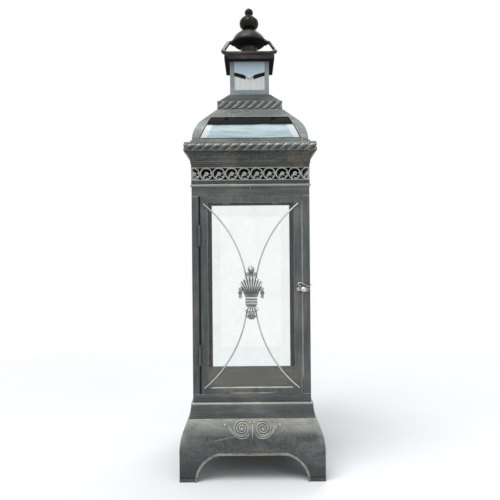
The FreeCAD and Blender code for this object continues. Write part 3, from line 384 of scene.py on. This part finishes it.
def cast_silver(name, bright, dark, rough, metallic=0.85, over=()):
    """Bright worn casting with dark patina in its recesses."""
    s = Shader(name)
    patches = s.noise(60, 5, 0.65)
    base = s.mix(s.ramp(patches, [(0.35, 0.0), (0.7, 0.6)]), bright, dark)
    for mark in over:
        base = mark(s, base)
    base = s.mix(s.hollows(0.003, 0.50, 0.97), base, HOLLOW_BLACK)
    base = s.mix(s.product(s.edges(0.0006, 0.03, 0.25), 0.6), base, BARE_SILVER)
    s.colour(base)
    s.roughness(patches, *rough)
    s.bump(s.noise(700, 3, 0.6), 0.25, 0.0003)
    return s.set(Metallic=metallic).mat


def shell_painted_shade(s, base):
    """Painted shade by height: dark where the ribs of the shell's two fans run together, on its bands and
    under its ball.
    """
    low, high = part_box("shell_ornament")
    share = s.math("DIVIDE", s.math("SUBTRACT", s.axis("Z"), low[2]), high[2] - low[2])
    dark = s.ramp(share, [(0.0, 0.70), (0.08, 0.55), (0.14, 0.0), (0.22, 0.0), (0.26, 0.4), (0.42, 0.4),
                          (0.50, 0.85), (0.57, 0.55), (0.64, 0.0), (0.80, 0.0), (0.85, 0.7), (0.93, 0.6),
                          (0.985, 0.1)])
    return s.mix(dark, base, (0.050, 0.054, 0.060))


def under_bowl(s):
    """Painted shade in the bowl under the smoke cap's rim."""
    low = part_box("smoke_cap")[0][2]
    above = s.rise(s.axis("Z"), low + CAP_NECK, 400.0)
    below = s.rise(low + CAP_RIM, s.axis("Z"), 900.0)
    return s.product(above, below)


def under_plate(s):
    """Painted shade on the underside of the cupola's roof plate."""
    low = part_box("cupola_roof_plate")[0][2]
    return s.rise(low + PLATE_SHADE, s.axis("Z"), 900.0)


def dark_bronze(name, tone, rough=(0.20, 0.38), specular=0.25, wear=0.4, painted_dark=None):
    """Nearly black bronze paint with brown rubs on its edges; a higher tone is paler."""
    s = Shader(name)
    shades = [(0.35, (0.006, 0.006, 0.006)), (0.62, (0.020, 0.018, 0.016)), (0.8, (0.060, 0.048, 0.038))]
    stops = [(place, [tone * part for part in colour]) for place, colour in shades]
    base = s.ramp(s.noise(35, 5, 0.6), stops)
    base = s.mix(s.product(s.edges(0.0012, 0.03, 0.3), wear), base, (0.22, 0.19, 0.15))
    painted_dark_mask = None
    # Painted shade: where the given mask is white, the underside is painted near black.
    if painted_dark:
        painted_dark_mask = painted_dark(s)
        base = s.mix(painted_dark_mask, base, SHADE_BLACK)
    s.colour(base)
    s.roughness(s.noise(120, 4, 0.6), *rough, painted_dark_mask)
    s.bump(s.noise(500, 3, 0.6), 0.18, 0.0003, 0.0008)
    return s.set(Metallic=0.15, Specular_IOR_Level=specular).mat


def clear_glass(name):
    """Window glass with faint dust and a little unevenness."""
    s = Shader(name)
    s.colour(s.ramp(s.noise(24, 6, 0.7), [(0.45, (0.96, 0.985, 0.975)), (0.8, (0.90, 0.92, 0.91))]))
    s.roughness(s.noise(50, 4, 0.6), 0.0, 0.05)
    s.bump(s.noise(9, 2, 0.5), 0.04, 0.0006)
    return s.set(Transmission_Weight=1.0, IOR=1.45).mat


def sky_glass(name, painted_dark, pale, grey, grain, under=()):
    """Streaked glass, painted pale as a painted sky reflection, and painted dark where the given mask is
    white.
    """
    s = Shader(name)
    sky_reflection = s.mix(s.ramp(s.noise(26, 5, 0.7, grain), [(0.36, 0.0), (0.64, 0.8)]), pale, grey)
    for mark in under:
        sky_reflection = mark(s, sky_reflection)
    s.colour(s.mix(painted_dark(s), sky_reflection, (0.007, 0.008, 0.008)))
    s.roughness(s.noise(60, 3, 0.5), 0.05, 0.16)
    return s.set(Transmission_Weight=0.12, IOR=1.4, Specular_IOR_Level=0.12).mat


def pane_half(s):
    """Half the width of a roof pane at a point's height."""
    up = s.math("SUBTRACT", s.axis("Z"), PANE_FOOT)
    return s.math("SUBTRACT", PANE_FOOT_HALF, s.math("MULTIPLY", up, PANE_TAPER))


def white_corners(s, base):
    """Painted reflection: a roof pane is whiter along its two slanting sides."""
    side = s.rise(s.lateral(), s.math("SUBTRACT", pane_half(s), PANE_CORNER), 450.0)
    return s.mix(s.product(side, 0.85), base, (0.74, 0.77, 0.75))


def roof_reflection_and_shadow(s):
    """A painted dark reflection along the upper edge of a roof pane, and a thin painted shadow line round it.
    """
    level = s.math("ADD", s.axis("Z"), s.math("MULTIPLY", s.noise(30, 3, 0.5), DARK_BAND_WAVE))
    strip = s.rise(level, DARK_BAND_LINE, 400.0)
    side = s.rise(s.lateral(), pane_half(s), 1500.0)
    foot = s.rise(FOOT_SHADOW_LINE, s.axis("Z"), 1500.0)
    return s.math("MAXIMUM", strip, s.math("MAXIMUM", side, foot))


def cupola_valance_shadow(s):
    """Painted shadow of a cupola pane's hanging valance: two dark wings below it, lower towards its tip."""
    line = s.math("ADD", s.math("MULTIPLY", s.lateral(), WING_SLOPE), WING_LOW)
    above = s.rise(s.axis("Z"), line, 900.0)
    return s.product(above, s.rise(s.lateral(), WING_INNER, 500.0))


PEWTER = antique("antique_pewter", (0.034, 0.040, 0.041), (0.072, 0.082, 0.082), (0.160, 0.167, 0.156),
                 wear=0.95, grain=UPRIGHT, over=(hinge_gap, rubbed_rail))
HINGE = antique("hinge_pewter", (0.034, 0.040, 0.041), (0.066, 0.075, 0.075), (0.130, 0.137, 0.129),
                wear=0.25, grain=UPRIGHT)
BEAD = antique("bead_edge", (0.120, 0.130, 0.124), (0.225, 0.240, 0.228), (0.390, 0.405, 0.380),
               wear=0.9, rust=0.25, metallic=0.4, hollow_dark=0.45)
SHEET = antique("antique_sheet", (0.030, 0.035, 0.036), (0.068, 0.077, 0.077), (0.160, 0.166, 0.154),
                wear=0.95)
SKIRT = antique("bowed_skirt", (0.030, 0.035, 0.036), (0.060, 0.067, 0.069), (0.150, 0.155, 0.146),
                wear=0.95, rust=0.3, metallic=0.35, grain=(1.2, 1.2, 4.5), mottle=0.5,
                under=(shaded_feet, shoulder_highlight_and_rub, pale_corners),
                over=(raised_lines, long_scratch, rusty_arch, foot_hem))
RUBBED = antique("rubbed_pewter", (0.016, 0.019, 0.018), (0.039, 0.045, 0.042), (0.145, 0.150, 0.134),
                 wear=0.7, rust=0.4, metallic=0.4, mottle=0.5)
CABLE = antique("cornice_rope", (0.026, 0.031, 0.031), (0.050, 0.058, 0.056), (0.135, 0.146, 0.137),
                wear=0.5, rust=0.2, metallic=0.4, hollow_dark=0.5, under=(pale_crest,))
ROPE = antique("rope_edge", (0.054, 0.062, 0.060), (0.108, 0.122, 0.117), (0.240, 0.256, 0.238),
               wear=0.8, rust=0.2, metallic=0.4, hollow_dark=0.6)
ROOF = antique("roof_sheet", (0.064, 0.074, 0.072), (0.156, 0.173, 0.166), (0.330, 0.342, 0.320),
               wear=1.0, rust=0.3, mottle=0.4)
BRIGHT = antique("bright_edge", (0.190, 0.192, 0.176), (0.310, 0.306, 0.280), (0.480, 0.475, 0.440),
                 wear=0.9, rust=0.5, hollow_dark=0.45)
# Painted highlight: the curb on top of the cornice is paler than the cornice below it, where the light catches
# its upper edge.
CURB = antique("cornice_curb", (0.066, 0.076, 0.074), (0.130, 0.146, 0.141), (0.280, 0.296, 0.277),
               wear=1.0, rust=0.2)
STIPPLED = antique("stippled_band", (0.026, 0.029, 0.028), (0.056, 0.060, 0.056), (0.140, 0.142, 0.130),
                   wear=0.8, rust=0.4, metallic=0.4, stipple=0.75)
MOULDED = antique("moulded_band", (0.016, 0.018, 0.017), (0.034, 0.036, 0.034), (0.095, 0.096, 0.088),
                  wear=0.5, rust=0.5, metallic=0.4)
PIERCED = antique("pierced_frieze", (0.160, 0.168, 0.165), (0.260, 0.268, 0.260), (0.400, 0.405, 0.390),
                  wear=0.9, rust=0.2, metallic=0.6)
INSIDE = antique("chamber_floor", (0.045, 0.040, 0.028), (0.105, 0.097, 0.070), (0.22, 0.205, 0.160),
                 wear=0.6, rust=0.5, metallic=0.0, grain=(0.4, 2.2, 1.0), rough=(0.9, 1.0))
CUPOLA = antique("cupola_grey", (0.125, 0.150, 0.158), (0.185, 0.218, 0.228), (0.280, 0.315, 0.325),
                 wear=0.8, rust=0.2, metallic=0.3, under=(valance_sky_reflection,))
CAP = dark_bronze("cap_bronze", 1.9, rough=(0.28, 0.44), painted_dark=under_bowl)
BAIL = dark_bronze("bail_bronze", 1.9)
BRONZE = dark_bronze("dark_bronze", 0.6, rough=(0.16, 0.30), specular=0.16, wear=0.25)
EAVE = dark_bronze("dark_eave", 3.0, rough=(0.38, 0.58), specular=0.18, wear=0.95, painted_dark=under_plate)
SILVER = cast_silver("cast_silver", (0.56, 0.56, 0.555), (0.30, 0.305, 0.30), (0.18, 0.30), metallic=0.95)
SHELL = cast_silver("cast_shell", (0.70, 0.71, 0.71), (0.38, 0.39, 0.40), (0.30, 0.48), metallic=0.7,
                    over=(shell_painted_shade,))
WIRE = cast_silver("silver_wire", (0.50, 0.51, 0.50), (0.28, 0.29, 0.29), (0.25, 0.42))
STEEL = cast_silver("plain_steel", (0.30, 0.30, 0.29), (0.15, 0.15, 0.15), (0.35, 0.55))
GLASS = clear_glass("clear_glass")
ROOF_GLASS = sky_glass("roof_glass", roof_reflection_and_shadow, (0.58, 0.68, 0.71), (0.30, 0.39, 0.42), LEVEL,
                       under=(white_corners,))
CUPOLA_GLASS = sky_glass("cupola_glass", cupola_valance_shadow, (0.76, 0.77, 0.74), (0.56, 0.58, 0.56), UPRIGHT)

# Which material a node takes: by its whole name, else by the first start that fits, else plain sheet.
BY_NAME = {
    "collar_lip": BRIGHT, "cornice_top": CURB, "bead_moulding": BEAD, "frieze_lower_band": STIPPLED,
    "frieze_upper_band": MOULDED, "floor_tray": INSIDE, "roof_frame": ROOF, "cornice_rope": CABLE,
    "upper_rope": ROPE, "cupola_walls": CUPOLA, "cupola_panes": CUPOLA_GLASS, "cupola_roof_plate": EAVE,
    "smoke_cap": CAP, "finial": BRONZE, "bail": BAIL, "shell_ornament": SHELL, "latch_knob": SILVER,
    "latch_plate": PEWTER, "latch_rivet": WIRE, "keeper_pin": STEEL, "stud_nut": STEEL,
    "finial_stud": STEEL, "door_frame": PEWTER,
}
BY_START = {
    "base_skirt": SKIRT, "frieze": PIERCED, "cornice": RUBBED, "roof_pane": ROOF_GLASS, "door_wire": WIRE,
    "latch": STEEL, "glass_clips": STEEL, "door_glass_clips": STEEL, "glass": GLASS, "door_glass": GLASS,
    "post": PEWTER, "upper_hinge": HINGE, "lower_hinge": HINGE, "hinge_pins": HINGE,
}


def material_for(name):
    if name in BY_NAME:
        return BY_NAME[name]
    for start, material in BY_START.items():
        if name.startswith(start):
            return material
    return SHEET


for name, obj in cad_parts.items():
    obj.data.materials.clear()
    obj.data.materials.append(material_for(name))


# Small trim that is too fine for the solids. Paths and profiles are in millimetres.

MM = 0.001
HOOK_RADIUS = 0.0008
HOOK_STAND = HOOK_RADIUS * 0.8
HOOK_PATH = [(-2.4, 1.4), (-3.6, 4.2), (-7.2, 6.0), (-7.6, 9.0), (-4.0, 9.9), (0.5, 8.2), (4.4, 5.4),
             (8.0, 3.6), (11.2, 4.2), (12.2, 7.2)]
STUD_PROFILE = [(0.0, 1.3), (0.7, 1.2), (1.2, 0.85), (1.5, 0.4), (1.6, 0.0), (2.1, 0.0), (2.1, -0.3)]
STUD_STEPS = 24
STUD_DROP = 0.003
STOP_PROFILE = [(-6.0, -2.0), (-0.9, -2.0), (-0.9, 0.3), (1.5, 0.3), (1.5, 0.9), (-1.5, 0.9), (-1.5, -1.4),
                (-6.0, -1.4)]
STOP_INSET = 0.001


def trim_piece(name, data, material):
    """An object in the scene for a piece of trim, with its material."""
    piece = bpy.data.objects.new(name, data)
    scene.collection.objects.link(piece)
    data.materials.append(material)
    return piece


def finished_mesh(name, mesh):
    """The bmesh as a mesh whose faces all look outwards."""
    bmesh.ops.recalc_face_normals(mesh, faces=mesh.faces)
    data = bpy.data.meshes.new(name)
    mesh.to_mesh(data)
    mesh.free()
    return data


def latch_hook():
    """A bent wire on the lever: it arches over the knob, and its tip turns up past the post.

    HOOK_PATH is across and up from the middle of the knob.
    """
    low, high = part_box("latch_knob")
    middle = (low + high) / 2
    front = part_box("latch_lever")[0][1] - HOOK_STAND
    data = bpy.data.curves.new("latch_hook", "CURVE")
    data.dimensions = "3D"
    data.bevel_depth = HOOK_RADIUS
    data.bevel_resolution = 3
    data.use_fill_caps = True
    spline = data.splines.new("NURBS")
    spline.points.add(len(HOOK_PATH) - 1)
    for point, (across, up) in zip(spline.points, HOOK_PATH):
        point.co = (middle[0] + across * MM, front, middle[2] + up * MM, 1)
    spline.order_u = 4
    spline.use_endpoint_u = True
    hook = trim_piece("latch_hook", data, WIRE)
    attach(hook, "latch")


def head_stud():
    """A small domed stud on a washer in the middle of the head ring.

    STUD_PROFILE is the radius and the distance out from the ring's face.
    """
    low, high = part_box("head_ring")
    mesh = bmesh.new()
    rings = []
    for radius, out in STUD_PROFILE:
        angles = [2 * math.pi * i / STUD_STEPS for i in range(STUD_STEPS if radius else 1)]
        rings.append([mesh.verts.new((radius * MM * math.cos(angle), -out * MM, radius * MM * math.sin(angle)))
                      for angle in angles])
    for inner, outer in zip(rings, rings[1:]):
        for i in range(STUD_STEPS):
            j = (i + 1) % STUD_STEPS
            corners = [inner[i % len(inner)], outer[i], outer[j], inner[j % len(inner)]]
            mesh.faces.new(list(dict.fromkeys(corners)))
    mesh.faces.new(rings[-1])
    data = finished_mesh("head_stud", mesh)
    data.shade_smooth()
    stud = trim_piece("head_stud", data, STEEL)
    stud.location = (0, low[1], high[2] - STUD_DROP)
    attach(stud, "lantern")


def door_stop():
    """A thin folded strip behind the hinge post, which closes the gap beside the door.

    STOP_PROFILE is across from the post's inner edge and back from the door's rear face.
    """
    low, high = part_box("post_front_left")
    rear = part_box("door_frame")[1][1]
    mesh = bmesh.new()
    ends = []
    for level in (low[2] + STOP_INSET, high[2] - STOP_INSET):
        ends.append([mesh.verts.new((high[0] + across * MM, rear + back * MM, level))
                     for across, back in STOP_PROFILE])
        mesh.faces.new(ends[-1])
    for i in range(len(STOP_PROFILE)):
        mesh.faces.new((ends[0][i - 1], ends[0][i], ends[1][i], ends[1][i - 1]))
    stop = trim_piece("door_stop", finished_mesh("door_stop", mesh), MOULDED)
    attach(stop, "lantern")


latch_hook()
head_stud()
door_stop()


# Stage: a pale floor, a white surround and soft light.

FLOOR_SIZE = 14
FADE_REACH = 1.6
SKY_LOW, SKY_HIGH = (0.20, 0.21, 0.225, 1), (0.88, 0.94, 1.0, 1)
SKY_STRENGTH = 0.8
LAMPS = [  # name, place, target, width, power
    ("key", (-0.7, -1.0, 2.4), (0, 0, 0.35), 1.4, 46),
    ("fill", (1.4, -1.7, 1.2), (0, 0, 0.35), 1.4, 9),
    ("back", (0.6, 1.4, 2.0), (0, 0, 0.45), 1.2, 16),
]
FRAME_PIXELS = 500
FOCAL_PIXELS = 540
SENSOR_WIDTH = 36
CAMERA_PLACE = (-0.0014, -0.8985, 0.340)
CAMERA_ROLL = math.radians(-0.47)


def seen_directly(tree):
    """One for rays that show the background: from the camera, off metal or through glass."""
    path = tree.nodes.new("ShaderNodeLightPath")
    seen = path.outputs["Is Camera Ray"]
    for kind in ("Is Glossy Ray", "Is Transmission Ray"):
        either = tree.nodes.new("ShaderNodeMath")
        either.operation = "MAXIMUM"
        tree.links.new(seen, either.inputs[0])
        tree.links.new(path.outputs[kind], either.inputs[1])
        seen = either.outputs[0]
    return seen


def make_floor():
    """A pale floor that keeps the shadow near the object and turns white away from it."""
    bpy.ops.mesh.primitive_plane_add(size=FLOOR_SIZE, location=(0, 0, 0))
    floor = bpy.context.object
    floor.name = "floor"
    s = Shader("pale_floor")
    s.colour(s.ramp(s.noise(3, 3, 0.5), [(0.3, 0.78), (0.7, 0.82)]))
    s.set(Roughness=0.85)
    away = s.node("ShaderNodeVectorMath", operation="LENGTH")
    s.link(s.coords, away.inputs[0])
    fade = s.ramp(s.math("DIVIDE", away.outputs["Value"], FADE_REACH), [(0.16, 0.0), (0.75, 1.0)])
    white = s.node("ShaderNodeEmission")
    mixed = s.node("ShaderNodeMixShader")
    s.link(s.product(fade, seen_directly(s.tree)), mixed.inputs["Fac"])
    s.link(s.bsdf.outputs[0], mixed.inputs[1])
    s.link(white.outputs[0], mixed.inputs[2])
    s.link(mixed.outputs[0], s.tree.nodes["Material Output"].inputs["Surface"])
    floor.data.materials.append(s.mat)


def make_world():
    """White to look at; as light, a soft sky that is brighter overhead than at the horizon."""
    world = bpy.data.worlds.new("surround")
    scene.world = world
    world.use_nodes = True
    tree = world.node_tree
    soft = tree.nodes["Background"]
    coords = tree.nodes.new("ShaderNodeTexCoord")
    split = tree.nodes.new("ShaderNodeSeparateXYZ")
    tree.links.new(coords.outputs["Generated"], split.inputs[0])
    sky = tree.nodes.new("ShaderNodeValToRGB")
    sky.color_ramp.elements[0].color = SKY_LOW
    sky.color_ramp.elements[1].color = SKY_HIGH
    tree.links.new(split.outputs["Z"], sky.inputs["Fac"])
    tree.links.new(sky.outputs["Color"], soft.inputs["Color"])
    soft.inputs["Strength"].default_value = SKY_STRENGTH
    white = tree.nodes.new("ShaderNodeBackground")
    white.inputs["Color"].default_value = (1, 1, 1, 1)
    mix = tree.nodes.new("ShaderNodeMixShader")
    tree.links.new(seen_directly(tree), mix.inputs["Fac"])
    tree.links.new(soft.outputs[0], mix.inputs[1])
    tree.links.new(white.outputs[0], mix.inputs[2])
    tree.links.new(mix.outputs[0], tree.nodes["World Output"].inputs["Surface"])


def make_lamp(name, place, target, width, power):
    data = bpy.data.lights.new(name, "AREA")
    data.shape = "SQUARE"
    data.size = width
    data.energy = power
    lamp = bpy.data.objects.new(name, data)
    lamp.location = place
    lamp.rotation_euler = (Vector(target) - Vector(place)).to_track_quat("-Z", "Y").to_euler()
    scene.collection.objects.link(lamp)


def make_camera():
    """A level camera in front of the door, rolled a little as the photograph is."""
    data = bpy.data.cameras.new("camera")
    data.sensor_width = SENSOR_WIDTH
    data.lens = SENSOR_WIDTH * FOCAL_PIXELS / FRAME_PIXELS
    data.clip_start = 0.01
    camera = bpy.data.objects.new("camera", data)
    level = Matrix.Translation(CAMERA_PLACE) @ Matrix.Rotation(math.radians(90), 4, "X")
    camera.matrix_world = level @ Matrix.Rotation(CAMERA_ROLL, 4, "Z")
    scene.collection.objects.link(camera)
    scene.camera = camera


make_floor()
make_world()
for lamp in LAMPS:
    make_lamp(*lamp)
make_camera()
scene.view_settings.view_transform = "Standard"
